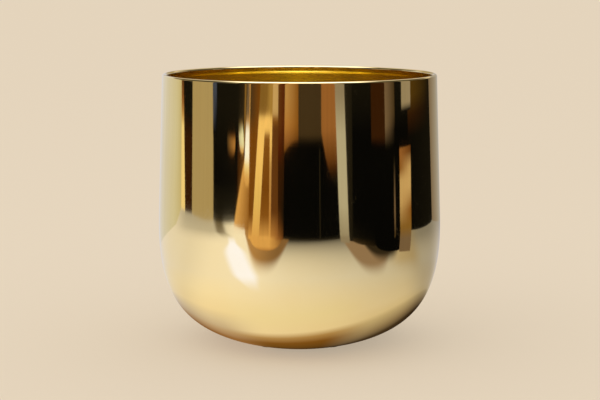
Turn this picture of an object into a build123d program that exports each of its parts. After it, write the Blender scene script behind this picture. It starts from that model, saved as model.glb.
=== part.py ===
from build123d import *
import math
import os

# Cachepot spun from one sheet of brass, its rim hemmed round a wire, standing on stick-on feet.
# Lengths are in millimetres and angles in degrees. The origin is on the pot's axis, at the level
# that the feet stand on, with +Z up.

# Pot shell, measured on its polished outside, with heights from the underside of its base
sheet = 0.6
shell_height = 180.0
rim_radius = 91.6
wall_foot_radius = 94.8
wall_foot_height = 86.0
base_radius = 38.0
base_edge_radius = 8.0
base_edge_angle = 13.0

# Reach of the bowl's curve along its two end tangents, as shares of the bowl's width and height
bowl_base_share = 0.78
bowl_wall_share = 0.62

# Raised panel that stiffens the base
panel_rise = 1.5
panel_bend_radius = 2.0
panel_gap = 3.0

# Wire ring, and the hem that is rolled inwards round it
wire_diameter = 1.2
wire_clearance = 0.3
hem_leg = 1.8
hem_seam = 0.2

# Stick-on feet
foot_count = 4
first_foot_angle = 45.0
foot_diameter = 12.0
foot_thickness = 1.3
foot_edge_radius = 0.4
foot_margin = 3.0

# Adhesive disc between each foot and the base
tape_thickness = 0.2
tape_inset = 0.5

# Level of the shell's underside
stand_height = foot_thickness + tape_thickness

# Feet stand in a ring just inside the edge of the flat base, round the raised panel
foot_circle_radius = base_radius - foot_margin - foot_diameter / 2
panel_foot_radius = foot_circle_radius - foot_diameter / 2 - panel_gap

# Two equal bends of opposite hand carry the sheet from the panel down to the base
panel_step_angle = math.degrees(math.acos(1 - panel_rise / (2 * panel_bend_radius)))
panel_step_run = 2 * panel_bend_radius * math.sin(math.radians(panel_step_angle))
panel_flat_radius = panel_foot_radius - panel_step_run

# The flat of the base stops where the bend of its edge begins
base_flat_radius = base_radius - base_edge_radius * math.sin(math.radians(base_edge_angle))

# The hem wraps the wire at the top, and its tail curls back against the wall
hem_radius = wire_diameter / 2 + wire_clearance + sheet
hem_depth = 2 * hem_radius
hem_curl_radius = hem_depth - sheet - hem_seam
roll_centre_radius = rim_radius - hem_radius
roll_centre_height = shell_height - hem_radius

# The straight wall runs from the top of the bowl and touches the roll of the hem
wall_foot = Vector(wall_foot_radius, wall_foot_height)
to_roll = Vector(roll_centre_radius, roll_centre_height) - wall_foot
wall_length = math.sqrt(to_roll.length**2 - hem_radius**2)
wall_angle = math.atan2(to_roll.Y, to_roll.X) - math.asin(hem_radius / to_roll.length)
wall_direction = Vector(math.cos(wall_angle), math.sin(wall_angle))
wall_inward = Vector(-math.sin(wall_angle), math.cos(wall_angle))


def sheet_line(inset):
    """One face of the sheet as radius and height, from the axis to the end of the hem's tail.

    The inset is the depth below the polished outside: zero there, and the sheet on the inside.
    """
    panel_height = panel_rise + inset
    panel = Line((0, panel_height), (panel_flat_radius, panel_height))
    drop = JernArc(panel @ 1, panel % 1, panel_bend_radius + inset, -panel_step_angle)
    land = JernArc(drop @ 1, drop % 1, panel_bend_radius - inset, panel_step_angle)
    flat = Line(land @ 1, (base_flat_radius, inset))
    edge = JernArc(flat @ 1, flat % 1, base_edge_radius - inset, base_edge_angle)
    bowl_start = edge @ 1
    bowl_end = wall_foot + wall_inward * inset
    bowl_span = bowl_end - bowl_start
    base_handle = bowl_start + (edge % 1) * (bowl_base_share * bowl_span.X)
    wall_handle = bowl_end - wall_direction * (bowl_wall_share * bowl_span.Y)
    bowl = Bezier(bowl_start, base_handle, wall_handle, bowl_end)
    wall = PolarLine(bowl_end, wall_length, direction=wall_direction)
    roll = JernArc(wall @ 1, wall % 1, hem_radius - inset, 180)
    leg = PolarLine(roll @ 1, hem_leg, direction=roll % 1)
    curl = JernArc(leg @ 1, leg % 1, hem_curl_radius - inset, 90)
    return [panel, drop, land, flat, edge, bowl, wall, roll, leg, curl]


def pot_shell():
    """The spun shell: its sheet's section turned round the axis."""
    outside = sheet_line(0)
    inside = sheet_line(sheet)
    axis_end = Line(outside[0] @ 0, inside[0] @ 0)
    hem_end = Line(outside[-1] @ 1, inside[-1] @ 1)
    section = make_face([*outside, hem_end, *inside, axis_end])
    shell = revolve(Plane.XZ * section, Axis.Z, 360)
    return Pos(0, 0, stand_height) * shell


def rim_wire():
    """The ring of wire that the hem is rolled round."""
    ring = Torus(roll_centre_radius, wire_diameter / 2)
    return Pos(0, 0, stand_height + roll_centre_height) * ring


def foot_pad(place):
    """A round rubber foot with a softened lower edge."""
    disc = Cylinder(foot_diameter / 2, foot_thickness, align=(Align.CENTER, Align.CENTER, Align.MIN))
    lower_edge = disc.edges().sort_by(Axis.Z)[0]
    return place * fillet(lower_edge, foot_edge_radius)


def pad_tape(place):
    """The adhesive disc on top of a foot."""
    tape_radius = foot_diameter / 2 - tape_inset
    disc = Cylinder(tape_radius, tape_thickness, align=(Align.CENTER, Align.CENTER, Align.MIN))
    return place * Pos(0, 0, foot_thickness) * disc


nodes = {"pot_shell": pot_shell(), "rim_wire": rim_wire()}
foot_places = PolarLocations(foot_circle_radius, foot_count, start_angle=first_foot_angle)
for number, place in enumerate(foot_places, start=1):
    nodes[f"foot_pad_{number}"] = foot_pad(place)
    nodes[f"pad_tape_{number}"] = pad_tape(place)

os.makedirs("parts", exist_ok=True)
for name, shape in nodes.items():
    shape.label = name
    export_step(shape, f"parts/{name}.step")
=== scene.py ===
"""Looks of a mirror-polished brass cachepot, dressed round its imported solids.

Lengths are in metres in the part's own frame: the origin is on the pot's axis, on the level that
its feet stand on, with +Z up. The picture is taken from the -Y side. Azimuths round the pot are
in degrees, from zero towards the camera and growing to its right. Colours are linear RGB.
"""

import logging
import math
from dataclasses import dataclass
from enum import Enum
from typing import ClassVar

import bpy
import numpy as np
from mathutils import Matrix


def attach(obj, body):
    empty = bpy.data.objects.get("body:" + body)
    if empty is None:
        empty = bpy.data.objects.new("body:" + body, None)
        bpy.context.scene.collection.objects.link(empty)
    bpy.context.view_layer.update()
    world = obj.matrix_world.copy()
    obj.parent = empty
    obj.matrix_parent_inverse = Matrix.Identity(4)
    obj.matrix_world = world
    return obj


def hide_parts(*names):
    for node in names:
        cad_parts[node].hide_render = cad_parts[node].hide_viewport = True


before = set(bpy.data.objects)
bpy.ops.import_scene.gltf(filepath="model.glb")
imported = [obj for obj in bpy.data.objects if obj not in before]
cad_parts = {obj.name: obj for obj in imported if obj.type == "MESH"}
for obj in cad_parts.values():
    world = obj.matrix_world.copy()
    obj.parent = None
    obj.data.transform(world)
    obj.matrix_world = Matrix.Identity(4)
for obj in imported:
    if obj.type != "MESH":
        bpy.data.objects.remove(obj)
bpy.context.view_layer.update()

LOG = logging.getLogger("cachepot")
ROOT = "root"
INSIDE = "inside"
ACROSS = "across"
RAY_KINDS = ("Camera", "Glossy", "Transmission")
MM = 0.001
WALL_HEIGHT = 180 * MM
FULL_TURN = 2 * math.pi
NOISE_MIDDLE = 0.5
MOST_BOUNCES = 24
GLOSSY_BOUNCES = 16

Socket = bpy.types.NodeSocket
Material = bpy.types.Material
Object = bpy.types.Object
Colour = tuple[float, float, float]
Place = tuple[float, float, float]
Shades = tuple[tuple[float, Colour], ...]


def rgba(colour: Colour) -> tuple[float, float, float, float]:
    """A colour as the four numbers that a colour socket holds."""
    return (*colour, 1.0)


@dataclass(frozen=True)
class Fade:
    """A smooth change over a measure: nothing at its start, and a share of the whole at its end."""

    start: float
    end: float
    share: float = 1.0

    def sockets(self) -> dict[str, float]:
        """The ends as a Map Range node takes them.

        Returns:
            The two measures and their results by socket name, the smaller measure first.
        """
        low, high = (self.start, 0.0), (self.end, self.share)
        if self.start > self.end:
            low, high = high, low
        return {"From Min": low[0], "From Max": high[0], "To Min": low[1], "To Max": high[1]}


@dataclass(frozen=True)
class Value:
    """A number that changes over a surface: a socket whose sums and products add Math nodes."""

    tree: "ShaderTree"
    socket: Socket

    def _math(self, operation: str, first: "Value | float", second: "Value | float") -> "Value":
        """Adds one Math node.

        Args:
            operation: The Math node's operation.
            first: Its first number.
            second: Its second number.

        Returns:
            The node's result.
        """
        node = self.tree.add("ShaderNodeMath", {"operation": operation}, {0: first, 1: second})
        return Value(self.tree, node.outputs[0])

    def __add__(self, other: "Value | float") -> "Value":
        """The sum."""
        return self._math("ADD", self, other)

    def __radd__(self, other: float) -> "Value":
        """The sum, with a plain number first."""
        return self._math("ADD", other, self)

    def __sub__(self, other: "Value | float") -> "Value":
        """The difference."""
        return self._math("SUBTRACT", self, other)

    def __rsub__(self, other: float) -> "Value":
        """The difference, with a plain number first."""
        return self._math("SUBTRACT", other, self)

    def __mul__(self, other: "Value | float") -> "Value":
        """The product."""
        return self._math("MULTIPLY", self, other)

    def __rmul__(self, other: float) -> "Value":
        """The product, with a plain number first."""
        return self._math("MULTIPLY", other, self)

    def __truediv__(self, other: "Value | float") -> "Value":
        """The quotient."""
        return self._math("DIVIDE", self, other)

    def __rtruediv__(self, other: float) -> "Value":
        """The quotient, with a plain number first."""
        return self._math("DIVIDE", other, self)

    def __pow__(self, other: "Value | float") -> "Value":
        """The power."""
        return self._math("POWER", self, other)

    def __abs__(self) -> "Value":
        """The size without its sign."""
        return self._math("ABSOLUTE", self, 0.0)

    def hypot(self, other: "Value") -> "Value":
        """The diagonal over this number and another."""
        return (self * self + other * other) ** 0.5

    def bearing(self, other: "Value") -> "Value":
        """The angle in degrees whose tangent is this number over another, right round."""
        return self._math("ARCTAN2", self, other) * math.degrees(1.0)

    def eased(self, fade: Fade) -> "Value":
        """How far a fade has come at this number.

        Args:
            fade: The fade.

        Returns:
            Zero before its start, its share past its end, and a smooth step between.
        """
        settings = {"interpolation_type": "SMOOTHSTEP"}
        node = self.tree.add("ShaderNodeMapRange", settings, {"Value": self, **fade.sockets()})
        return Value(self.tree, node.outputs["Result"])


class ShaderTree:
    """The nodes of one material or world."""

    # A Mix node's colour sockets by number, because its other kinds share their names
    MIX_FIRST: ClassVar[int] = 6
    MIX_SECOND: ClassVar[int] = 7
    MIX_RESULT: ClassVar[int] = 2

    def __init__(self, owner: Material | bpy.types.World) -> None:
        """Empties the owner's tree.

        Args:
            owner: The material or world whose nodes are built.
        """
        owner.use_nodes = True
        self.owner = owner
        self.nodes = owner.node_tree.nodes
        self.links = owner.node_tree.links
        self.nodes.clear()

    def add(
        self, kind: str, settings: dict | None = None, inputs: dict | None = None
    ) -> bpy.types.Node:
        """Adds a node, sets it up and feeds its sockets.

        Args:
            kind: The node's type.
            settings: Its properties, set first. The entry "stops" holds a ramp's stops.
            inputs: Values or links by socket name or number.

        Returns:
            The new node.
        """
        node = self.nodes.new(kind)
        for name, setting in (settings or {}).items():
            if name == "stops":
                self._set_stops(node.color_ramp.elements, setting)
            else:
                setattr(node, name, setting)
        for name, given in (inputs or {}).items():
            self._feed(node.inputs[name], given)
        return node

    def _set_stops(self, elements: bpy.types.bpy_prop_collection, stops: Shades) -> None:
        """Gives a colour ramp its stops.

        Args:
            elements: The ramp's elements, of which a new ramp has two.
            stops: Positions from 0 to 1 with their colours, in order.
        """
        while len(elements) < len(stops):
            elements.new(1.0)
        while len(elements) > len(stops):
            elements.remove(elements[-1])
        for element, (position, colour) in zip(elements, stops):
            element.position = position
            element.color = rgba(colour)

    def _feed(self, socket: Socket, given: object) -> None:
        """Links a value or socket to an input, or sets the input to a plain value.

        Args:
            socket: The input.
            given: What it receives.
        """
        if isinstance(given, Value):
            self.links.new(given.socket, socket)
        elif isinstance(given, Socket):
            self.links.new(given, socket)
        else:
            socket.default_value = given

    def place(self) -> Socket:
        """The surface point in the part's frame."""
        return self.add("ShaderNodeTexCoord").outputs["Object"]

    def stored(self, name: str) -> Value:
        """The number that the mesh stores at each point under a name."""
        return Value(self, self.add("ShaderNodeAttribute", {"attribute_name": name}).outputs["Fac"])

    def axes(self, vector: Socket) -> tuple[Value, Value, Value]:
        """Splits a vector.

        Args:
            vector: The vector's socket.

        Returns:
            Its three numbers.
        """
        node = self.add("ShaderNodeSeparateXYZ", inputs={"Vector": vector})
        return tuple(Value(self, socket) for socket in node.outputs)

    def join(self, x: Value | float, y: Value | float, z: Value | float) -> Socket:
        """Joins three numbers into a vector.

        Args:
            x: The first number.
            y: The second number.
            z: The third number.

        Returns:
            The vector's socket.
        """
        return self.add("ShaderNodeCombineXYZ", inputs={"X": x, "Y": y, "Z": z}).outputs["Vector"]

    def noise(self, vector: Socket, size: float, detail: float = 2.0) -> Value:
        """Cloudy noise from 0 to 1.

        Args:
            vector: Where it is read.
            size: The size of a cloud.
            detail: How many finer layers it has.

        Returns:
            The noise.
        """
        sockets = {"Vector": vector, "Scale": 1 / size, "Detail": detail}
        return Value(self, self.add("ShaderNodeTexNoise", inputs=sockets).outputs["Fac"])

    def ramp(self, share: Value, stops: Shades) -> Socket:
        """The colour at a share of the way through stops from 0 to 1."""
        return self.add("ShaderNodeValToRGB", {"stops": stops}, {"Fac": share}).outputs["Color"]

    def mix(
        self, factor: Value | float, first: object, second: object, blend: str = "MIX"
    ) -> Socket:
        """Mixes two colours.

        Args:
            factor: The share of the second.
            first: A colour or its socket.
            second: A colour or its socket.
            blend: The Mix node's way of blending.

        Returns:
            The mixed colour.
        """
        settings = {"data_type": "RGBA", "blend_type": blend}
        sockets = {0: factor, self.MIX_FIRST: first, self.MIX_SECOND: second}
        return self.add("ShaderNodeMix", settings, sockets).outputs[self.MIX_RESULT]

    def scaled(self, colour: object, level: Value) -> Socket:
        """Brightens or dims a colour.

        Args:
            colour: A plain colour or a colour's socket.
            level: The number that multiplies it.

        Returns:
            The colour times the number.
        """
        sockets = {"Vector": colour, "Scale": level}
        node = self.add("ShaderNodeVectorMath", {"operation": "SCALE"}, sockets)
        return node.outputs["Vector"]

    def bump(self, height: Value, depth: float, strength: float = 1.0) -> Socket:
        """The normal of a surface with fine relief.

        Args:
            height: The relief from 0 to 1.
            depth: How deep it is.
            strength: How much of it shows.

        Returns:
            The normal's socket.
        """
        sockets = {"Strength": strength, "Distance": depth, "Height": height}
        return self.add("ShaderNodeBump", inputs=sockets).outputs["Normal"]

    def seen(self) -> Value:
        """Tells the rays that show a thing from those that carry its light.

        Returns:
            One for rays to the eye, straight, off metal or through glass, and zero for others.
        """
        rays = self.add("ShaderNodeLightPath").outputs
        camera, glossy, through = (Value(self, rays[f"Is {kind} Ray"]) for kind in RAY_KINDS)
        return camera + glossy + through

    def emission(self, colour: object) -> Socket:
        """A shader that glows with a colour."""
        sockets = {"Color": colour, "Strength": 1.0}
        return self.add("ShaderNodeEmission", inputs=sockets).outputs["Emission"]

    def end(self, shader: Socket) -> Material:
        """Ends a material's tree in a shader and gives the material."""
        self.add("ShaderNodeOutputMaterial", inputs={"Surface": shader})
        return self.owner

    def surface(self, **sockets: object) -> Material:
        """Ends a material's tree in one principled surface.

        Args:
            sockets: What its sockets receive, named with underscores for spaces.

        Returns:
            The finished material.
        """
        named = {name.replace("_", " "): given for name, given in sockets.items()}
        return self.end(self.add("ShaderNodeBsdfPrincipled", inputs=named).outputs["BSDF"])


def material_tree(name: str) -> ShaderTree:
    """The empty tree of a new material."""
    return ShaderTree(bpy.data.materials.new(name))


@dataclass(frozen=True)
class PolishedBrass:
    """Buffed brass: a mirror outside, satin inside, with faint traces of spinning and use."""

    brass: Colour = (0.955, 0.795, 0.43)
    warm_brass: Colour = (0.93, 0.73, 0.34)
    inside_brass: Colour = (0.93, 0.82, 0.31)
    warm_share: float = 0.35
    mirror_roughness: float = 0.042
    satin_roughness: float = 0.13
    cloud_size: float = 45 * MM
    cloud_detail: float = 3.0
    cloud_fade: Fade = Fade(0.35, 0.75)
    cloud_roughness: float = 0.012
    wave_size: float = 70 * MM
    wave_depth: float = 0.2 * MM
    ring_pitch: float = 1.2 * MM
    ring_roughness: float = 0.03
    hair_size: float = 30 * MM
    hair_detail: float = 4.0
    hair_fade: Fade = Fade(0.004, 0.0)
    patch_size: float = 20 * MM
    patch_fade: Fade = Fade(0.6, 0.75)
    scratch_roughness: float = 0.12

    def material(self) -> Material:
        """Builds the finish: clouded colour, turned rings and hairlines in the gloss, slow waves.

        The hairlines run where one noise is near its middle, in the patches where another is high.

        Returns:
            The new material.
        """
        tree = material_tree("polished_brass")
        place = tree.place()
        x, y, z = tree.axes(place)
        inside = tree.stored(INSIDE)

        clouds = tree.noise(place, self.cloud_size, self.cloud_detail).eased(self.cloud_fade)
        rings = tree.noise(tree.join(x.hypot(y), 0.0, z), self.ring_pitch, detail=1.0)
        waves = tree.noise(place, self.wave_size, detail=0.0)
        hairs = abs(tree.noise(place, self.hair_size, self.hair_detail) - NOISE_MIDDLE)
        patches = tree.noise(place, self.patch_size, detail=1.0).eased(self.patch_fade)
        scratches = hairs.eased(self.hair_fade) * patches

        outside = tree.mix(clouds * self.warm_share, rgba(self.brass), rgba(self.warm_brass))
        turned = self.mirror_roughness + (rings - NOISE_MIDDLE) * self.ring_roughness
        mirror = turned + clouds * self.cloud_roughness + scratches * self.scratch_roughness
        return tree.surface(
            Base_Color=tree.mix(inside, outside, rgba(self.inside_brass)),
            Metallic=1.0,
            Roughness=mirror + inside * (self.satin_roughness - self.mirror_roughness),
            Normal=tree.bump(waves, self.wave_depth),
        )


@dataclass(frozen=True)
class DrawnSteel:
    """Bright drawn wire with a fine grain."""

    steel: Colour = (0.56, 0.55, 0.53)
    dull_steel: Colour = (0.40, 0.39, 0.38)
    roughness: float = 0.3
    grain_size: float = 0.4 * MM
    grain_roughness: float = 0.2

    def material(self) -> Material:
        """Builds the finish from fine noise in colour and gloss.

        Returns:
            The new material.
        """
        tree = material_tree("drawn_steel")
        grain = tree.noise(tree.place(), self.grain_size)
        return tree.surface(
            Base_Color=tree.mix(grain, rgba(self.dull_steel), rgba(self.steel)),
            Metallic=1.0,
            Roughness=self.roughness + (grain - NOISE_MIDDLE) * self.grain_roughness,
        )


@dataclass(frozen=True)
class FootRubber:
    """Soft black rubber with a fine moulded grain and a little dust."""

    rubber: Colour = (0.018, 0.017, 0.016)
    dust: Colour = (0.075, 0.07, 0.062)
    roughness: float = 0.62
    grain_size: float = 0.35 * MM
    grain_depth: float = 0.05 * MM
    grain_strength: float = 0.6
    dust_size: float = 3 * MM
    dust_detail: float = 4.0
    dust_fade: Fade = Fade(0.5, 0.8)
    dust_share: float = 0.6
    dust_roughness: float = 0.2

    def material(self) -> Material:
        """Builds the finish: grain in the bump, dust in the colour and gloss.

        Returns:
            The new material.
        """
        tree = material_tree("foot_rubber")
        place = tree.place()
        grain = tree.noise(place, self.grain_size)
        dust = tree.noise(place, self.dust_size, self.dust_detail).eased(self.dust_fade)
        return tree.surface(
            Base_Color=tree.mix(dust * self.dust_share, rgba(self.rubber), rgba(self.dust)),
            Roughness=self.roughness + dust * self.dust_roughness,
            Normal=tree.bump(grain, self.grain_depth, self.grain_strength),
        )


@dataclass(frozen=True)
class TapeFilm:
    """Milky adhesive film with tiny trapped bubbles."""

    film: Colour = (0.62, 0.60, 0.55)
    bubble: Colour = (0.78, 0.77, 0.74)
    roughness: float = 0.4
    bubble_size: float = 0.6 * MM
    bubble_fade: Fade = Fade(0.6, 0.7)
    bubble_gloss: float = 0.15

    def material(self) -> Material:
        """Builds the finish from bubbles in the colour and gloss.

        Returns:
            The new material.
        """
        tree = material_tree("tape_film")
        bubbles = tree.noise(tree.place(), self.bubble_size, detail=1.0).eased(self.bubble_fade)
        return tree.surface(
            Base_Color=tree.mix(bubbles, rgba(self.film), rgba(self.bubble)),
            Roughness=self.roughness - bubbles * self.bubble_gloss,
        )


def add_object(name: str, data: bpy.types.ID) -> Object:
    """Makes a mesh, lamp or camera an object of the scene.

    Args:
        name: The object's name.
        data: What it shows.

    Returns:
        The new object.
    """
    added = bpy.data.objects.new(name, data)
    bpy.context.scene.collection.objects.link(added)
    return added


def store(mesh: bpy.types.Mesh, name: str, numbers: np.ndarray) -> None:
    """Stores one number for each point of a mesh.

    Args:
        mesh: The mesh.
        name: The name that materials read them by.
        numbers: The numbers, in the order of the points.
    """
    flat = numbers.astype(np.float32).ravel()
    mesh.attributes.new(name, "FLOAT", "POINT").data.foreach_set("value", flat)


@dataclass(frozen=True)
class Grid:
    """A surface as rows of points, whose columns close into rings where it goes right round."""

    points: np.ndarray
    closed: bool

    def faces(self) -> np.ndarray:
        """The corners of each cell, row by row.

        Returns:
            Four numbers to a cell: a point, the one to its right, and the two above them.
        """
        rows, columns = self.points.shape[:2]
        number = np.arange(rows * columns).reshape(rows, columns)
        right = np.roll(number, -1, axis=1) if self.closed else number[:, 1:]
        left = number if self.closed else number[:, :-1]
        corners = (left[:-1], right[:-1], right[1:], left[1:])
        return np.stack(corners, axis=-1).reshape(-1, 4)

    def mesh_object(self, name: str) -> Object:
        """Makes the grid an object of the scene.

        Args:
            name: The object's name.

        Returns:
            The new object, smooth shaded.
        """
        mesh = bpy.data.meshes.new(name)
        mesh.from_pydata(self.points.reshape(-1, 3).tolist(), [], self.faces().tolist())
        mesh.shade_smooth()
        return add_object(name, mesh)


@dataclass(frozen=True)
class Stretch:
    """One stretch of the pot's outline: radius and height of its points, and a heading at each."""

    points: np.ndarray
    headings: np.ndarray

    @property
    def end(self) -> np.ndarray:
        """The last point."""
        return self.points[-1]

    @property
    def heading(self) -> float:
        """The heading at the last point, in radians from straight outwards."""
        return float(self.headings[-1])


def straight(start: np.ndarray, heading: float, length: float, steps: int) -> Stretch:
    """A straight stretch: the start plus even shares of the length along the heading.

    Args:
        start: Its first point.
        heading: Its direction.
        length: How long it is.
        steps: How many parts it is cut into.

    Returns:
        The stretch.
    """
    along = np.linspace(0, length, steps + 1)[:, None]
    direction = np.array([math.cos(heading), math.sin(heading)])
    return Stretch(np.asarray(start) + along * direction, np.full(steps + 1, heading))


def bend(start: np.ndarray, heading: float, radius: float, turn: float, steps: int) -> Stretch:
    """A round bend: its centre lies one radius to the side of the start, and points go round it.

    Args:
        start: Its first point.
        heading: Its direction there.
        radius: Its radius.
        turn: The angle that it turns by, positive to the left.
        steps: How many parts it is cut into.

    Returns:
        The stretch.
    """
    side = math.copysign(radius, turn)
    headings = heading + np.linspace(0, turn, steps + 1)
    centre = np.asarray(start) + side * np.array([-math.sin(heading), math.cos(heading)])
    points = centre + side * np.stack([np.sin(headings), -np.cos(headings)], axis=1)
    return Stretch(points, headings)


def sweep_between(corners: np.ndarray, steps: int) -> Stretch:
    """A cubic curve: four corners weighted by the Bernstein terms, headings by their slopes.

    Args:
        corners: Start, two handles and end.
        steps: How many parts it is cut into.

    Returns:
        The stretch.
    """
    share = np.linspace(0, 1, steps + 1)
    rest = 1 - share
    weights = np.stack([rest**3, 3 * rest**2 * share, 3 * rest * share**2, share**3], axis=1)
    slopes = np.stack([rest**2, 2 * rest * share, share**2], axis=1)
    slope = slopes @ np.diff(corners, axis=0)
    return Stretch(weights @ corners, np.arctan2(slope[:, 1], slope[:, 0]))


@dataclass
class PotShell:
    """The spun shell: one sheet from the middle of the base to the hem's tail, inside and out."""

    sheet: float = 0.6 * MM
    stand_height: float = 1.5 * MM
    shell_height: float = 180 * MM
    rim_radius: float = 91.6 * MM
    wall_foot_radius: float = 94.8 * MM
    wall_foot_height: float = 86 * MM
    base_radius: float = 38 * MM
    base_edge_radius: float = 8 * MM
    base_edge_angle: float = math.radians(13)
    bowl_base_share: float = 0.78
    bowl_wall_share: float = 0.62
    panel_rise: float = 1.5 * MM
    panel_bend_radius: float = 2 * MM
    panel_foot_radius: float = 20 * MM
    hem_radius: float = 1.5 * MM
    hem_leg: float = 1.8 * MM
    hem_seam: float = 0.2 * MM
    columns: int = 384
    base_steps: int = 6
    edge_steps: int = 4
    bowl_steps: int = 48
    wall_steps: int = 16
    roll_steps: int = 14
    leg_steps: int = 2
    curl_steps: int = 8

    def wall(self) -> tuple[float, float]:
        """The straight wall, which runs from the bowl and touches the roll of the hem.

        Returns:
            Its length and heading: the tangent from the wall's foot to the roll's circle.
        """
        across = self.rim_radius - self.hem_radius - self.wall_foot_radius
        up = self.shell_height - self.hem_radius - self.wall_foot_height
        reach = math.hypot(across, up)
        length = math.sqrt(reach**2 - self.hem_radius**2)
        return length, math.atan2(up, across) - math.asin(self.hem_radius / reach)

    def face_line(self, inset: float) -> list[Stretch]:
        """One face of the sheet, from the axis to the end of the hem's tail.

        Args:
            inset: Its depth below the polished outside.

        Returns:
            The stretches in order, each starting where the last ends.
        """
        step = math.acos(1 - self.panel_rise / (2 * self.panel_bend_radius))
        panel_flat = self.panel_foot_radius - 2 * self.panel_bend_radius * math.sin(step)
        base_flat = self.base_radius - self.base_edge_radius * math.sin(self.base_edge_angle)
        wall_length, wall_heading = self.wall()
        wall_way = np.array([math.cos(wall_heading), math.sin(wall_heading)])
        wall_inward = np.array([-wall_way[1], wall_way[0]])
        edge_radius = self.base_edge_radius - inset
        curl_radius = 2 * self.hem_radius - self.sheet - self.hem_seam - inset

        panel_start = np.array([0.0, self.panel_rise + inset])
        panel = straight(panel_start, 0.0, panel_flat, self.base_steps)
        drop = bend(panel.end, 0.0, self.panel_bend_radius + inset, -step, self.base_steps)
        land = bend(drop.end, -step, self.panel_bend_radius - inset, step, self.base_steps)
        flat = straight(land.end, 0.0, base_flat - land.end[0], self.base_steps)
        edge = bend(flat.end, 0.0, edge_radius, self.base_edge_angle, self.edge_steps)

        wall_foot = np.array([self.wall_foot_radius, self.wall_foot_height])
        bowl_end = wall_foot + inset * wall_inward
        span = bowl_end - edge.end
        edge_way = np.array([math.cos(edge.heading), math.sin(edge.heading)])
        base_handle = edge.end + self.bowl_base_share * span[0] * edge_way
        wall_handle = bowl_end - self.bowl_wall_share * span[1] * wall_way
        corners = np.array([edge.end, base_handle, wall_handle, bowl_end])
        bowl = sweep_between(corners, self.bowl_steps)
        side = straight(bowl.end, wall_heading, wall_length, self.wall_steps)

        roll = bend(side.end, wall_heading, self.hem_radius - inset, math.pi, self.roll_steps)
        leg = straight(roll.end, roll.heading, self.hem_leg, self.leg_steps)
        curl = bend(leg.end, leg.heading, curl_radius, math.pi / 2, self.curl_steps)
        return [panel, drop, land, flat, edge, bowl, side, roll, leg, curl]

    def outline(self) -> list[Stretch]:
        """The whole section: the outer face to the tail, across the sheet, the inner face back.

        Returns:
            The stretches from the axis under the base to the axis on top of it.
        """
        outer = self.face_line(0.0)
        inner = self.face_line(self.sheet)
        tail_start = outer[-1].end
        across, up = inner[-1].end - tail_start
        tail = straight(tail_start, math.atan2(up, across), math.hypot(across, up), 1)
        back = [Stretch(s.points[::-1], s.headings[::-1] + math.pi) for s in reversed(inner)]
        return [*outer, tail, *back]

    def build(self, finish: PolishedBrass) -> Object:
        """Turns the section round the axis and dresses it.

        A ring point is the section's radius times the cosine and sine of the column's angle, with
        the section's height. A fan of triangles closes the base at each of its two poles.

        Args:
            finish: The brass.

        Returns:
            The piece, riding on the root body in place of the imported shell.
        """
        outline = self.outline()
        section = np.vstack([outline[0].points[:1], *(s.points[1:] for s in outline)])
        angles = np.arange(self.columns) * FULL_TURN / self.columns
        around = np.stack([np.cos(angles), np.sin(angles)], axis=1)
        rings = section[1:-1]
        points = np.empty((len(rings), self.columns, 3))
        points[..., :2] = rings[:, None, :1] * around
        points[..., 2] = rings[:, None, 1] + self.stand_height
        ring_faces = Grid(points, closed=True).faces()

        poles = section[[0, -1], 1] + self.stand_height
        vertices = np.vstack([points.reshape(-1, 3), [(0, 0, poles[0]), (0, 0, poles[1])]])
        lower_pole, upper_pole = len(vertices) - 2, len(vertices) - 1
        first = np.arange(self.columns)
        last = first + (len(rings) - 1) * self.columns
        below = np.stack([np.full_like(first, lower_pole), np.roll(first, -1), first], axis=1)
        above = np.stack([last, np.roll(last, -1), np.full_like(last, upper_pole)], axis=1)

        mesh = bpy.data.meshes.new("brass_shell")
        faces = [*ring_faces.tolist(), *below.tolist(), *above.tolist()]
        mesh.from_pydata(vertices.tolist(), [], faces)
        mesh.normals_split_custom_set(self.corner_normals(outline, around))
        inner_start = len(section) // 2
        ring_inside = np.repeat(np.arange(len(rings)) + 1 >= inner_start, self.columns)
        store(mesh, INSIDE, np.concatenate([ring_inside, [False, True]]))
        mesh.materials.append(finish.material())

        piece = add_object("brass_shell", mesh)
        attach(piece, ROOT)
        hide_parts("pot_shell")
        return piece

    def corner_normals(self, outline: list[Stretch], around: np.ndarray) -> np.ndarray:
        """The normal at each corner of each face, in the order that the mesh holds them.

        A normal is the section's heading turned a quarter to the right, carried round the axis.

        Args:
            outline: The section's stretches.
            around: Cosine and sine of each column's angle.

        Returns:
            One row for each corner: four to a cell, then the fans of the two poles.
        """
        starts = np.concatenate([s.headings[:-1] for s in outline])
        ends = np.concatenate([s.headings[1:] for s in outline])
        onward = np.roll(around, -1, axis=0)

        def turned(headings: np.ndarray, way: np.ndarray) -> np.ndarray:
            """Carries headings round the axis.

            Args:
                headings: Headings of the section.
                way: Cosine and sine of each column's angle.

            Returns:
                A normal for each heading and column: its sine outwards and minus its cosine up.
            """
            outwards = np.sin(headings)[:, None, None] * way
            upwards = np.broadcast_to(-np.cos(headings)[:, None, None], (*outwards.shape[:2], 1))
            return np.concatenate([outwards, upwards], axis=2)

        def corners(*sides: tuple[np.ndarray, np.ndarray]) -> np.ndarray:
            """Rows of normals for faces whose corners have these headings and columns."""
            return np.stack([turned(*side) for side in sides], axis=2).reshape(-1, 3)

        lower, upper = starts[1:-1], ends[1:-1]
        cells = corners((lower, around), (lower, onward), (upper, onward), (upper, around))
        below = corners((starts[:1], around), (ends[:1], onward), (ends[:1], around))
        above = corners((starts[-1:], around), (starts[-1:], onward), (ends[-1:], around))
        return np.vstack([cells, below, above])


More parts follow.
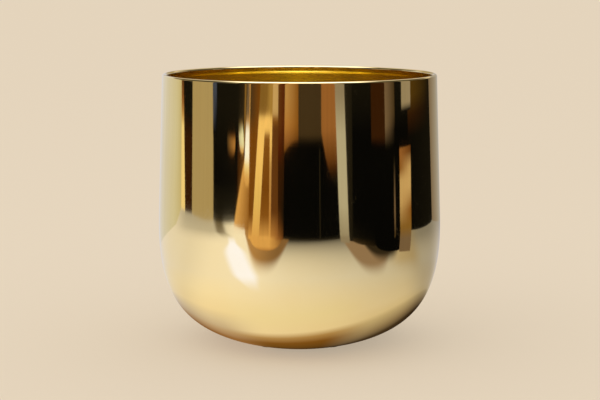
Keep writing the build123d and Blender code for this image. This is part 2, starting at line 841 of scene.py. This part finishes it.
@dataclass
class HiddenFittings:
    """The wire in the hem and the stick-on feet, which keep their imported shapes."""

    feet: int = 4

    def dress(self) -> list[Object]:
        """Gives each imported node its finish.

        Returns:
            The dressed nodes.
        """
        finishes = {"rim_wire": DrawnSteel().material()}
        rubber = FootRubber().material()
        film = TapeFilm().material()
        for number in range(1, self.feet + 1):
            finishes[f"foot_pad_{number}"] = rubber
            finishes[f"pad_tape_{number}"] = film
        for name, material in finishes.items():
            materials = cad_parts[name].data.materials
            materials.clear()
            materials.append(material)
        return [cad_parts[name] for name in finishes]


class Tone(Enum):
    """Glow colours of the studio's cards: painted light and shade for the wall to reflect."""

    INK = (0.002, 0.002, 0.002)
    SOOT = (0.008, 0.007, 0.005)
    GRAPHITE = (0.022, 0.018, 0.013)
    UMBER = (0.035, 0.012, 0.003)
    OLIVE = (0.055, 0.036, 0.019)
    DUSK = (0.056, 0.070, 0.146)
    MAROON = (0.085, 0.016, 0.004)
    TOBACCO = (0.10, 0.054, 0.008)
    WALNUT = (0.12, 0.045, 0.012)
    CHESTNUT = (0.18, 0.065, 0.008)
    TAUPE = (0.18, 0.125, 0.09)
    BRONZE = (0.23, 0.13, 0.035)
    RUSSET = (0.24, 0.097, 0.016)
    SLATE = (0.28, 0.245, 0.215)
    COPPER = (0.31, 0.135, 0.045)
    DRAB = (0.31, 0.265, 0.22)
    BRASS = (0.39, 0.243, 0.073)
    TAN = (0.42, 0.34, 0.205)
    STONE = (0.46, 0.445, 0.42)
    APRICOT = (0.50, 0.25, 0.08)
    CARAMEL = (0.53, 0.32, 0.13)
    STRAW = (0.57, 0.40, 0.22)
    LINEN = (0.57, 0.52, 0.34)
    OAT = (0.66, 0.65, 0.57)
    PALE = (0.72, 0.72, 0.78)
    OCHRE = (0.73, 0.42, 0.15)
    GOLD = (0.78, 0.55, 0.21)
    CREAM = (0.87, 0.93, 0.79)
    AMBER = (0.92, 0.76, 0.42)
    HONEY = (0.95, 0.65, 0.27)
    WHITE = (1.05, 1.12, 1.4)


Paint = tuple[tuple[float, Tone], ...]


def one_tone(tone: Tone) -> Paint:
    """One tone from the table up."""
    return ((0.0, tone),)


def unseen(card: Object) -> Object:
    """Sets a card of the stage to show in polished metal alone, with no light or shadow of its own.

    Args:
        card: The card.

    Returns:
        The same card.
    """
    card.visible_camera = False
    card.visible_diffuse = False
    card.visible_shadow = False
    card.visible_transmission = False
    card.visible_volume_scatter = False
    return card


@dataclass(frozen=True)
class Flag:
    """A flat glowing card that stands on the table and shows in the polished wall.

    It runs straight between two ends, each an azimuth and a reach from the pot's axis. Its paint
    goes through its tones by height, and across to the far tones where it has them, from a share
    of its width on. The lean turns its two sides about the axis, in degrees at the wall's height,
    the lift raises its lower corners into a round end, and the slope raises its left end alone.
    """

    name: str
    ends: tuple[float, float]
    reach: tuple[float, float]
    tones: Paint
    far_tones: Paint = ()
    far_from: float = 0.0
    lean: tuple[float, float] = (0.0, 0.0)
    lift: float = 0.0
    foot: float = 0.0
    slope: float = 0.0
    top: float = 1.0

    COLUMNS: ClassVar[int] = 25
    ROWS: ClassVar[int] = 33
    CORNER_POWER: ClassVar[float] = 2.5
    STREAK_SIZE: ClassVar[float] = 1 / 60
    STREAK_SQUEEZE: ClassVar[float] = 0.05
    STREAK_SHARE: ClassVar[float] = 0.1

    def build(self) -> Object:
        """Stands the card up.

        Its columns are even shares of the line between its ends. Its rows rise from foot to top by
        the squares of even shares, so they lie closer near the table.

        Returns:
            The card.
        """
        across = np.linspace(0, 1, self.COLUMNS)
        up = np.linspace(0, 1, self.ROWS)[:, None] ** 2
        angles = np.radians(self.ends)
        reach = np.array(self.reach)
        x = np.interp(across, (0, 1), reach * np.sin(angles))
        y = np.interp(across, (0, 1), -reach * np.cos(angles))
        corner = 1 - np.sqrt(1 - np.abs(2 * across - 1) ** self.CORNER_POWER)
        foot = self.foot + self.lift * corner + self.slope * (1 - across) ** 2
        height = foot + (self.top - foot) * up
        lean = np.interp(across, (0, 1), np.radians(self.lean))
        angle = np.arctan2(x, -y) + lean * np.minimum(height, WALL_HEIGHT) / WALL_HEIGHT
        distance = np.hypot(x, y)
        points = np.stack([distance * np.sin(angle), -distance * np.cos(angle), height], axis=-1)
        card = Grid(points, closed=False).mesh_object(f"flag_{self.name}")
        store(card.data, ACROSS, np.broadcast_to(across, height.shape))
        card.data.materials.append(self.paint())
        return unseen(card)

    def paint(self) -> Material:
        """Paints the tones up and across the card, with faint upright streaks.

        Returns:
            The new material.
        """
        tree = material_tree(f"flag_{self.name}")
        x, y, z = tree.axes(tree.place())
        colour = self.upright(tree, z, self.tones)
        if self.far_tones:
            share = (tree.stored(ACROSS) - self.far_from) / (1 - self.far_from)
            colour = tree.mix(share, colour, self.upright(tree, z, self.far_tones))
        streaks = tree.noise(tree.join(x, y, z * self.STREAK_SQUEEZE), self.STREAK_SIZE)
        level = 1 + (streaks - NOISE_MIDDLE) / NOISE_MIDDLE * self.STREAK_SHARE
        # The card glows: its tones are painted light and shade, seen only as a reflection
        return tree.end(tree.emission(tree.scaled(colour, level)))

    def upright(self, tree: ShaderTree, height: Value, tones: Paint) -> Socket:
        """Runs tones up the card.

        Args:
            tree: The paint's nodes.
            height: The height above the table.
            tones: Heights with their tones.

        Returns:
            The colour.
        """
        stops = tuple((level / self.top, tone.value) for level, tone in tones)
        return tree.ramp(height / self.top, stops)


@dataclass(frozen=True)
class RoundShade:
    """A soft shade on the table that reaches outwards from a round near edge."""

    colour: Colour
    middle: float
    half_width: float
    near: float
    edge: Fade

    SQUARE_SHARE: ClassVar[float] = 0.07
    FOURTH_SHARE: ClassVar[float] = 0.2

    def cover(self, radius: Value, azimuth: Value) -> Value:
        """How much of the table it covers.

        Its near edge is a radius that grows away from its middle, by shares of the square and the
        fourth power of the bearing from there over half of its width.

        Args:
            radius: The distance from the axis.
            azimuth: The bearing from the axis.

        Returns:
            One in the shade and zero outside it.
        """
        share = (azimuth - self.middle) / self.half_width
        square = share * share
        near = self.near + square * self.SQUARE_SHARE + square * square * self.FOURTH_SHARE
        return (radius - near).eased(self.edge)


@dataclass(frozen=True)
class Sector:
    """A part of the table between two bearings and past a radius, with soft sides."""

    first: Fade
    last: Fade
    past: Fade

    def cover(self, radius: Value, azimuth: Value) -> Value:
        """How much of the table it covers: the product of its three fades."""
        return azimuth.eased(self.first) * azimuth.eased(self.last) * radius.eased(self.past)


@dataclass(frozen=True)
class Gleam:
    """A bright streak on the table, which turns about the axis as it nears the pot."""

    colour: Colour = (1.05, 1.15, 1.82)
    bearing: float = -59.3
    turn: float = 5.3
    half_width: float = 3.0
    bulge_start: Fade = Fade(0.15, 0.24)
    bulge_end: Fade = Fade(0.62, 0.4, 5.5)
    edge: Fade = Fade(1.35, 0.5)
    start: Fade = Fade(0.155, 0.235)
    end: Fade = Fade(0.8, 0.55)

    def cover(self, radius: Value, azimuth: Value) -> Value:
        """How much of the table it covers.

        Its middle is a bearing plus the turn over the radius, and its half width grows where it
        bulges. It fades by the bearing from its middle over its half width.

        Args:
            radius: The distance from the axis.
            azimuth: The bearing from the axis.

        Returns:
            One in the streak and zero outside it.
        """
        beside = abs(azimuth - self.turn / radius - self.bearing)
        width = self.half_width + radius.eased(self.bulge_start) * radius.eased(self.bulge_end)
        along = radius.eased(self.start) * radius.eased(self.end)
        return (beside / width).eased(self.edge) * along


@dataclass(frozen=True)
class TableCard:
    """The pale table as the polished bowl shows it: bright to the left and near, dim in front."""

    outer_radius: float = 1.3
    inner_radius: float = 1 * MM
    level: float = 0.1 * MM
    rings: int = 24
    columns: int = 96

    shade_centre: tuple[float, float] = (0.020, 0.045)
    shade_reach: float = 0.26
    to_left: Fade = Fade(-20.0, -55.0)
    to_right: Fade = Fade(15.0, 50.0)
    round_back: Fade = Fade(178.0, 150.0)

    brightness: float = 1.06
    front_side: Fade = Fade(-34.0, -12.0)
    front_fall: Fade = Fade(0.09, 0.82, 0.85)
    front_end: Fade = Fade(0.56, 0.78, 0.15)
    side_fall: Fade = Fade(-0.22, 0.28, 0.44)
    side_slant: float = 0.35
    right_side: Fade = Fade(72.0, 108.0)
    right_fall: float = 0.27
    right_end: Fade = Fade(0.3, 0.62, 0.3)
    right_rise: Fade = Fade(118.0, 145.0, 0.25)
    left_fall: Fade = Fade(-60.0, -95.0, 0.14)
    left_end: Sector = Sector(Fade(-120.0, -98.0), Fade(-48.0, -72.0), Fade(0.5, 0.95, 0.44))
    # Painted shade: a warm tint that dims the table to the right, past a radius
    warm_shade_part: Sector = Sector(Fade(60.0, 80.0), Fade(106.0, 90.0), Fade(0.2, 0.34))
    warm_shade_tint: Colour = (0.85, 0.74, 0.54)

    left_shade: RoundShade = RoundShade(
        (0.45, 0.26, 0.115), -24.0, 13.8, 0.302, Fade(-0.085, 0.07)
    )
    left_core: Colour = (0.235, 0.135, 0.064)
    left_core_side: Fade = Fade(-36.0, -14.0)
    right_shade: RoundShade = RoundShade(
        (0.29, 0.205, 0.155), 53.0, 18.0, 0.275, Fade(-0.07, 0.04)
    )
    right_core: RoundShade = RoundShade(
        (0.03, 0.022, 0.014), 64.5, 17.0, 0.355, Fade(-0.075, 0.055)
    )
    far_shade: Colour = (0.17, 0.14, 0.10)
    far_ahead: float = 0.42
    far_band: Fade = Fade(0.095, 0.03)
    far_side: Fade = Fade(-0.52, -0.88)
    gleam: Gleam = Gleam()

    FRONT_SHADES: ClassVar[Shades] = (
        (0.078, (0.045, 0.022, 0.005)),
        (0.104, (0.24, 0.105, 0.017)),
        (0.114, (0.49, 0.31, 0.14)),
        (0.123, (0.93, 0.82, 0.67)),
        (0.150, (0.92, 0.84, 0.68)),
        (0.190, (0.92, 0.85, 0.78)),
        (0.260, (0.90, 0.87, 0.91)),
    )
    LEFT_SHADES: ClassVar[Shades] = (
        (0.100, (0.33, 0.16, 0.05)),
        (0.114, (0.52, 0.37, 0.25)),
        (0.122, (0.62, 0.52, 0.44)),
        (0.134, (0.75, 0.67, 0.60)),
        (0.152, (0.93, 0.84, 0.72)),
        (0.190, (0.94, 0.88, 0.82)),
        (0.260, (0.90, 0.87, 0.91)),
    )
    RIGHT_SHADES: ClassVar[Shades] = (
        (0.078, (0.07, 0.042, 0.018)),
        (0.094, (0.33, 0.25, 0.16)),
        (0.114, (0.67, 0.57, 0.42)),
        (0.122, (0.87, 0.76, 0.60)),
        (0.140, (0.91, 0.82, 0.72)),
        (0.260, (0.90, 0.87, 0.91)),
    )

    def build(self) -> Object:
        """Lays a round card: radius times the cosine and sine of the angle, on one level.

        Returns:
            The card.
        """
        radii = np.linspace(self.inner_radius, self.outer_radius, self.rings)[:, None]
        angles = np.arange(self.columns) * FULL_TURN / self.columns
        x = radii * np.cos(angles)
        y = radii * np.sin(angles)
        points = np.stack([x, y, np.full_like(x, self.level)], axis=-1)
        card = Grid(points, closed=True).mesh_object("table_card")
        card.data.materials.append(self.paint())
        return unseen(card)

    def paint(self) -> Material:
        """Paints the table: the pot's shade, a fall of light, a warm painted shade, shades and a
        gleam.

        Returns:
            The new material.
        """
        tree = material_tree("table_card")
        x, y, _ = tree.axes(tree.place())
        ahead = 0.0 - y
        radius = x.hypot(y)
        azimuth = x.bearing(ahead)
        beside = abs(azimuth).eased(self.round_back)

        colour = self.pot_shade(tree, x, y, azimuth, beside)
        colour = tree.scaled(colour, self.light(x, y, radius, azimuth, beside))
        # The warm painted shade to the right, multiplied into the colour
        warm_shade = self.warm_shade_part.cover(radius, azimuth)
        colour = tree.mix(warm_shade, colour, rgba(self.warm_shade_tint), "MULTIPLY")

        core_share = azimuth.eased(self.left_core_side)
        left = tree.mix(core_share, rgba(self.left_shade.colour), rgba(self.left_core))
        colour = tree.mix(self.left_shade.cover(radius, azimuth), colour, left)
        far = abs(ahead - self.far_ahead).eased(self.far_band) * x.eased(self.far_side)
        covers = [
            (self.right_shade.cover(radius, azimuth), self.right_shade.colour),
            (self.right_core.cover(radius, azimuth), self.right_core.colour),
            (far, self.far_shade),
            (self.gleam.cover(radius, azimuth), self.gleam.colour),
        ]
        for cover, shade in covers:
            colour = tree.mix(cover, colour, rgba(shade))
        # The card glows with the table's painted light and shade, and shows only in reflections
        return tree.end(tree.emission(colour))

    def light(self, x: Value, y: Value, radius: Value, azimuth: Value, beside: Value) -> Value:
        """The light on the table, which falls to the front, the right and the two ends.

        Args:
            x: The place to the right of the axis.
            y: The place behind the axis.
            radius: The distance from the axis.
            azimuth: The bearing from the axis.
            beside: A number that falls to zero straight behind the pot, where left meets right.

        Returns:
            The brightness, less its fall to the side, times what each other fall leaves.
        """
        ahead = 0.0 - y
        front = ahead.eased(self.front_fall) + ahead.eased(self.front_end)
        front = front * azimuth.eased(self.front_side)
        side = (x + y * self.side_slant).eased(self.side_fall)
        right = azimuth.eased(self.right_side) * (self.right_fall + radius.eased(self.right_end))
        ends = right + azimuth.eased(self.left_fall) - azimuth.eased(self.right_rise)
        left_end = self.left_end.cover(radius, azimuth)
        return (1 - front) * (self.brightness - side) * (1 - ends * beside) * (1 - left_end)

    def pot_shade(
        self, tree: ShaderTree, x: Value, y: Value, azimuth: Value, beside: Value
    ) -> Socket:
        """The table round the pot, which darkens towards a point behind its axis.

        Args:
            tree: The paint's nodes.
            x: The place to the right of the axis.
            y: The place behind the axis.
            azimuth: The bearing from the axis.
            beside: A number that falls to zero straight behind the pot, where left meets right.

        Returns:
            The colour: shades by distance in front, and others to the left and right.
        """
        across = x - self.shade_centre[0]
        back = y - self.shade_centre[1]
        reach = across.hypot(back) / self.shade_reach

        def shades(stops: Shades) -> Socket:
            """The colours of one side by distance."""
            return tree.ramp(reach, tuple((far / self.shade_reach, tint) for far, tint in stops))

        to_left = azimuth.eased(self.to_left) * beside
        to_right = azimuth.eased(self.to_right) * beside
        front_left = tree.mix(to_left, shades(self.FRONT_SHADES), shades(self.LEFT_SHADES))
        return tree.mix(to_right, front_left, shades(self.RIGHT_SHADES))


@dataclass(frozen=True)
class SkyArch:
    """A soft light arched over the pot, from high in front to low behind, for the rolled rim."""

    front: float = math.radians(74)
    crown: float = math.radians(98)
    behind: float = math.radians(126)
    crown_reach: float = 1.5
    behind_reach: float = 0.45
    distance: float = 1.9
    rows: int = 33
    columns: int = 9
    light: Colour = (2.6, 2.6, 2.6)
    dim: Colour = (0.2, 0.17, 0.12)
    dim_fade: Fade = Fade(0.45, 1.0)

    def build(self) -> Object:
        """Bends a panel over the pot: places across, cosine and sine of the turn from the front.

        It is as wide as it reaches at its crown, and narrows evenly from there to its end behind.

        Returns:
            The panel.
        """
        turn = np.linspace(self.front, self.behind, self.rows)[:, None]
        ends, reaches = (self.crown, self.behind), (self.crown_reach, self.behind_reach)
        across = np.linspace(-1, 1, self.columns)
        x = np.interp(turn, ends, reaches) * across
        y = np.broadcast_to(-self.distance * np.cos(turn), x.shape)
        z = np.broadcast_to(self.distance * np.sin(turn), x.shape)
        panel = Grid(np.stack([x, y, z], axis=-1), closed=False).mesh_object("sky_arch")
        store(panel.data, ACROSS, np.broadcast_to(np.abs(across), x.shape))
        panel.data.materials.append(self.paint())
        return unseen(panel)

    def paint(self) -> Material:
        """Lights the panel, with a fall towards its two sides.

        Returns:
            The new material.
        """
        tree = material_tree("sky_arch")
        aside = tree.stored(ACROSS).eased(self.dim_fade)
        return tree.end(tree.emission(tree.mix(aside, rgba(self.light), rgba(self.dim))))


FLAGS: tuple[Flag, ...] = (
    Flag(
        "left_wall", (-152.7, -115), (0.371, 0.662), one_tone(Tone.PALE), one_tone(Tone.OAT),
        top=0.35,
    ),
    Flag(
        "left_return", (-115, -105.7), (0.662, 0.92), one_tone(Tone.OAT), one_tone(Tone.LINEN),
        lean=(0, -3.2), top=0.35,
    ),
    Flag(
        "left_edge", (-105.9, -100), (0.92, 0.925),
        ((0.085, Tone.AMBER), (0.1, Tone.AMBER), (0.115, Tone.CARAMEL), (0.13, Tone.COPPER),
         (0.155, Tone.WALNUT)),
        lean=(-3.2, -6), top=0.35,
    ),
    Flag(
        "left_post", (-100.3, -91.6), (0.92, 0.945), ((0.09, Tone.UMBER), (0.12, Tone.SOOT)),
        lean=(-6, -2), top=0.35,
    ),
    Flag(
        "left_panel", (-91.8, -69.3), (0.94, 0.98), one_tone(Tone.TAN), lean=(-2.0, -2.2), top=0.35
    ),
    Flag(
        "left_dark", (-69.6, -45), (0.985, 1.065),
        ((0.02, Tone.SOOT), (0.05, Tone.INK), (0.15, Tone.SOOT)),
        lean=(-2.2, 0), top=0.4,
    ),
    Flag(
        "left_reveal", (-69.5, -66.2), (0.975, 0.975), ((0.11, Tone.INK), (0.13, Tone.DUSK)),
        ((0.13, Tone.INK), (0.165, Tone.DUSK)), lean=(-2.2, -1.5), foot=0.105,
    ),
    Flag(
        "left_glint", (-57.5, -50.4), (0.96, 0.96),
        ((0.09, Tone.INK), (0.105, Tone.OLIVE), (0.118, Tone.INK)),
        ((0.087, Tone.WALNUT), (0.098, Tone.APRICOT), (0.1065, Tone.APRICOT),
         (0.112, Tone.WALNUT), (0.117, Tone.SOOT)),
        lift=0.014, foot=0.086, top=0.118,
    ),
    Flag(
        "side_brown", (-48.5, -35), (1.03, 1.0), ((0.1, Tone.UMBER), (0.12, Tone.SOOT)),
        ((0.07, Tone.RUSSET), (0.1, Tone.WALNUT), (0.12, Tone.OLIVE)),
    ),
    Flag(
        "side_timber", (-51, -37.5), (0.99, 0.96), one_tone(Tone.OCHRE),
        ((0.02, Tone.RUSSET), (0.05, Tone.RUSSET), (0.075, Tone.OCHRE)), lean=(18, 0), top=0.085,
    ),
    Flag(
        "side_line", (-44.2, -42.9), (0.94, 0.94), one_tone(Tone.BRONZE),
        lean=(1.7, 1.7), foot=0.1,
    ),
    Flag(
        "side_spark", (-42.2, -38.2), (0.93, 0.93),
        ((0.098, Tone.OCHRE), (0.106, Tone.OAT), (0.116, Tone.OAT), (0.1215, Tone.TOBACCO),
         (0.128, Tone.SOOT)),
        ((0.098, Tone.OCHRE), (0.104, Tone.CREAM), (0.122, Tone.CREAM), (0.131, Tone.BRONZE),
         (0.137, Tone.OLIVE)),
        lean=(-8, -8), lift=0.016, foot=0.094, top=0.137,
    ),
    Flag(
        "side_light", (-44.2, -37.6), (0.92, 0.92),
        ((0.065, Tone.OCHRE), (0.08, Tone.AMBER), (0.092, Tone.WHITE), (0.123, Tone.WHITE),
         (0.136, Tone.CARAMEL), (0.146, Tone.TAUPE)),
        lean=(3.9, -0.6), lift=0.026, foot=0.055,
    ),
    Flag(
        "column", (-36.8, -11.9), (0.50, 0.50), ((0.0, Tone.APRICOT), (0.012, Tone.OCHRE)),
        ((0.0, Tone.COPPER), (0.045, Tone.WALNUT)), far_from=0.6, lift=0.055,
    ),
    Flag(
        "column_left", (-36.8, -36.1), (0.45, 0.45),
        ((0.045, Tone.OCHRE), (0.065, Tone.CHESTNUT), (0.135, Tone.CHESTNUT), (0.155, Tone.OLIVE)),
        ((0.045, Tone.OCHRE), (0.065, Tone.CHESTNUT)), lean=(1, 8.1), foot=0.038,
    ),
    Flag(
        "column_face", (-36.2, -30.7), (0.45, 0.45),
        ((0.045, Tone.OCHRE), (0.08, Tone.GOLD), (0.12, Tone.HONEY), (0.151, Tone.HONEY),
         (0.157, Tone.BRONZE)),
        lean=(8.1, 7.7), foot=0.038,
    ),
    Flag(
        "column_arch", (-30.9, -22), (0.45, 0.45),
        ((0.045, Tone.OCHRE), (0.065, Tone.RUSSET), (0.09, Tone.CHESTNUT), (0.136, Tone.RUSSET),
         (0.142, Tone.HONEY), (0.152, Tone.HONEY), (0.158, Tone.BRONZE)),
        ((0.045, Tone.OCHRE), (0.065, Tone.RUSSET), (0.09, Tone.CHESTNUT), (0.136, Tone.RUSSET),
         (0.142, Tone.HONEY), (0.152, Tone.HONEY), (0.158, Tone.BRASS)),
        lean=(7.7, 1.2), foot=0.038,
    ),
    Flag(
        "column_line", (-22.3, -20.8), (0.45, 0.45),
        ((0.045, Tone.OCHRE), (0.065, Tone.APRICOT), (0.11, Tone.CARAMEL), (0.13, Tone.HONEY),
         (0.151, Tone.HONEY), (0.157, Tone.BRASS)),
        lean=(1.2, 2), foot=0.038,
    ),
    Flag(
        "column_right", (-21, -15.1), (0.45, 0.45),
        ((0.04, Tone.OCHRE), (0.05, Tone.APRICOT), (0.07, Tone.WALNUT), (0.145, Tone.WALNUT),
         (0.152, Tone.RUSSET), (0.157, Tone.STRAW)),
        ((0.05, Tone.COPPER), (0.07, Tone.WALNUT), (0.145, Tone.WALNUT), (0.152, Tone.RUSSET),
         (0.157, Tone.STRAW)),
        lean=(2, 0), foot=0.038,
    ),
    Flag(
        "column_edge", (-15.3, -11.8), (0.45, 0.45),
        ((0.045, Tone.COPPER), (0.06, Tone.WALNUT), (0.075, Tone.UMBER), (0.11, Tone.UMBER),
         (0.125, Tone.MAROON), (0.15, Tone.WALNUT)),
        ((0.045, Tone.WALNUT), (0.065, Tone.SOOT), (0.12, Tone.UMBER), (0.15, Tone.MAROON)),
        lean=(0, 1.5), foot=0.04,
    ),
    Flag(
        "centre_block", (-12.4, 31), (0.80, 0.78),
        ((0.0, Tone.GRAPHITE), (0.014, Tone.INK), (0.1235, Tone.INK), (0.1265, Tone.OLIVE)),
    ),
    Flag("centre_line", (14.7, 15.3), (0.71, 0.71), one_tone(Tone.GRAPHITE), top=0.115),
    Flag(
        "centre_left", (-11.6, -0.6), (0.75, 0.75),
        ((0.112, Tone.RUSSET), (0.122, Tone.COPPER), (0.14, Tone.APRICOT), (0.17, Tone.CARAMEL)),
        ((0.12, Tone.WALNUT), (0.14, Tone.RUSSET)), foot=0.123, slope=-0.0135,
    ),
    Flag(
        "copper_panel", (16.2, 29), (0.72, 0.72),
        ((0.082, Tone.SOOT), (0.091, Tone.UMBER), (0.102, Tone.WALNUT), (0.135, Tone.COPPER)),
        lean=(0, -1.5), foot=0.075, slope=0.058,
    ),
    Flag(
        "pale_strip", (30.4, 37.3), (0.67, 0.63),
        ((0.02, Tone.SLATE), (0.06, Tone.STONE), (0.13, Tone.STONE), (0.17, Tone.SLATE)),
        lean=(-4.2, -4),
    ),
    Flag("right_grey", (33, 43), (0.74, 0.64), one_tone(Tone.GRAPHITE), one_tone(Tone.SOOT)),
    Flag(
        "right_dark", (39.5, 61), (0.63, 0.50),
        ((0.0, Tone.OLIVE), (0.022, Tone.SOOT), (0.05, Tone.INK), (0.13, Tone.INK),
         (0.18, Tone.SOOT)),
        ((0.13, Tone.INK), (0.18, Tone.SOOT)), lift=0.01, top=0.4,
    ),
    Flag(
        "right_near", (56, 89.2), (0.43, 0.43), ((0.13, Tone.INK), (0.18, Tone.SOOT)),
        lift=0.025, top=0.3,
    ),
    Flag(
        "right_brown", (53, 65.5), (0.41, 0.41), ((0.126, Tone.INK), (0.132, Tone.UMBER)),
        ((0.122, Tone.INK), (0.13, Tone.UMBER)), foot=0.12, top=0.3,
    ),
    Flag(
        "right_panel", (65, 74.5), (0.405, 0.405), ((0.122, Tone.SOOT), (0.14, Tone.TAUPE)),
        ((0.135, Tone.INK), (0.15, Tone.OLIVE)), foot=0.12, top=0.3,
    ),
    Flag(
        "right_gap", (72.2, 73.6), (0.402, 0.402),
        ((0.045, Tone.OLIVE), (0.068, Tone.TAUPE), (0.108, Tone.SOOT)),
        lean=(0.8, 0.8), foot=0.035, top=0.112,
    ),
    Flag(
        "right_slat", (77.6, 89.4), (0.395, 0.385),
        ((0.03, Tone.TAUPE), (0.052, Tone.BRONZE), (0.072, Tone.STRAW), (0.09, Tone.STRAW),
         (0.1, Tone.RUSSET), (0.11, Tone.COPPER)),
        ((0.03, Tone.TAUPE), (0.05, Tone.BRONZE), (0.065, Tone.RUSSET), (0.083, Tone.STRAW),
         (0.1, Tone.STRAW), (0.113, Tone.WALNUT)),
        lean=(1.5, 2.3), top=0.118,
    ),
    Flag(
        "right_drab", (79.4, 89.6), (0.38, 0.38), ((0.15, Tone.INK), (0.156, Tone.DRAB)),
        lean=(1.8, 2.3), foot=0.149, top=0.3,
    ),
    Flag(
        "right_post", (89, 129.2), (0.75, 0.70),
        ((0.105, Tone.INK), (0.13, Tone.UMBER), (0.15, Tone.TOBACCO)), one_tone(Tone.SOOT),
        lean=(0, -2.6), top=0.35,
    ),
    Flag(
        "right_wall", (125, 159), (0.73, 0.557), one_tone(Tone.TAUPE), one_tone(Tone.STONE),
        top=0.35,
    ),
    Flag(
        "back_wall", (158, 208), (0.6, 0.375), ((0.2, Tone.STONE), (0.25, Tone.TAN)),
        ((0.2, Tone.PALE), (0.25, Tone.TAN)), top=0.35,
    ),
)


@dataclass(frozen=True)
class Studio:
    """Floor, cards and lights round the pot."""

    floor_colour: Colour = (0.79, 0.668, 0.51)
    floor_reach: float = 60.0
    floor_glow: float = 0.55
    fibre_size: float = 1 / 900
    fibre_level: float = 0.985
    fibre_share: float = 0.03
    sky_level: float = 0.97
    ceiling: Colour = (0.74, 0.69, 0.58)
    ceiling_fade: Fade = Fade(0.46, 0.58)
    side_rise: float = 0.3
    side_ceiling: Colour = (0.09, 0.075, 0.05)
    side_fade: Fade = Fade(0.2, 0.65)
    key_power: float = 2.0
    key_size: float = 1.3
    key_place: Place = (-0.8, -0.6, 1.4)
    key_target: Place = (0.0, 0.0, 0.05)

    def build(self) -> list[Object]:
        """Sets the stage.

        Returns:
            The floor and the cards.
        """
        cards = [flag.build() for flag in FLAGS]
        cards.append(TableCard().build())
        cards.append(SkyArch().build())
        self.light_world()
        self.hang_key()
        return [self.lay_floor(), *cards]

    def lay_floor(self) -> Object:
        """Lays the plain beige floor, a square that reaches past the picture on every side.

        Returns:
            The floor.
        """
        edge = np.array([-self.floor_reach, self.floor_reach])
        x, y = np.meshgrid(edge, edge)
        points = np.stack([x, y, np.zeros_like(x)], axis=-1)
        floor = Grid(points, closed=False).mesh_object("floor")
        floor.data.materials.append(self.floor_finish())
        return floor

    def floor_finish(self) -> Material:
        """Makes the floor: matt, so that it keeps the pot's shadow, and part plain background.

        Returns:
            The new material.
        """
        tree = material_tree("floor")
        fibre = tree.noise(tree.place(), self.fibre_size)
        colour = tree.scaled(self.floor_colour, self.fibre_level + self.fibre_share * fibre)
        matt = tree.add("ShaderNodeBsdfDiffuse", inputs={"Color": colour}).outputs["BSDF"]
        sockets = {0: tree.seen() * self.floor_glow, 1: matt, 2: tree.emission(colour)}
        return tree.end(tree.add("ShaderNodeMixShader", inputs=sockets).outputs["Shader"])

    def light_world(self) -> None:
        """Lights the scene evenly, but shows a pale horizon and a ceiling dimmer at the sides."""
        world = bpy.data.worlds.new("soft_room")
        tree = ShaderTree(world)
        side, _, up = tree.axes(tree.add("ShaderNodeTexCoord").outputs["Generated"])
        aside = abs(side)
        dimmed = aside.eased(self.side_fade)
        above = tree.mix(dimmed, rgba(self.ceiling), rgba(self.side_ceiling))
        height = (up + aside * self.side_rise).eased(self.ceiling_fade)
        room = tree.mix(height, rgba(self.floor_colour), above)
        shown = tree.mix(tree.seen(), rgba((self.sky_level,) * 3), room)
        shader = tree.add("ShaderNodeBackground", inputs={"Color": shown, "Strength": 1.0})
        tree.add("ShaderNodeOutputWorld", inputs={"Surface": shader.outputs["Background"]})
        bpy.context.scene.world = world

    def hang_key(self) -> None:
        """Hangs a soft box high on the left, which gives the floor its soft shadow."""
        lamp = bpy.data.lights.new("key_box", "AREA")
        lamp.shape = "DISK"
        lamp.size = self.key_size
        lamp.energy = self.key_power
        key = add_object("key_box", lamp)
        key.location = self.key_place
        x, y, z = np.array(self.key_target) - np.array(self.key_place)
        tilt = math.atan2(math.hypot(x, y), -z)
        key.rotation_euler = (tilt, 0.0, math.atan2(y, x) - math.pi / 2)
        key.visible_glossy = False


@dataclass(frozen=True)
class PhotoCamera:
    """The photograph's camera: where it stands, how far it looks down, and its lens."""

    place: Place = (0.0003, -1.0, 0.2421)
    down: float = math.radians(8.323)
    focal_pixels: float = 1492.8
    width_pixels: float = 600.0
    sensor: float = 36.0

    def build(self) -> Object:
        """Adds the camera and makes it the scene's own.

        Returns:
            The camera.
        """
        data = bpy.data.cameras.new("photo_camera")
        data.sensor_width = self.sensor
        data.lens = self.focal_pixels / self.width_pixels * self.sensor
        camera = add_object("photo_camera", data)
        camera.location = self.place
        camera.rotation_euler = (math.pi / 2 - self.down, 0.0, 0.0)
        bpy.context.scene.camera = camera
        return camera


def main() -> None:
    """Builds the pot, its fittings, the stage and the camera, and reports each piece."""
    logging.basicConfig(level=logging.INFO, format="%(message)s")
    scene = bpy.context.scene
    scene.view_settings.view_transform = "Standard"
    scene.cycles.max_bounces = MOST_BOUNCES
    scene.cycles.glossy_bounces = GLOSSY_BOUNCES
    shell = PotShell().build(PolishedBrass())
    LOG.info("piece %s: %d faces", shell.name, len(shell.data.polygons))
    for node in HiddenFittings().dress():
        LOG.info("piece %s keeps its packed shape", node.name)
    for card in Studio().build():
        LOG.info("stage %s", card.name)
    LOG.info("camera %s", PhotoCamera().build().name)


if __name__ == "__main__":
    main()
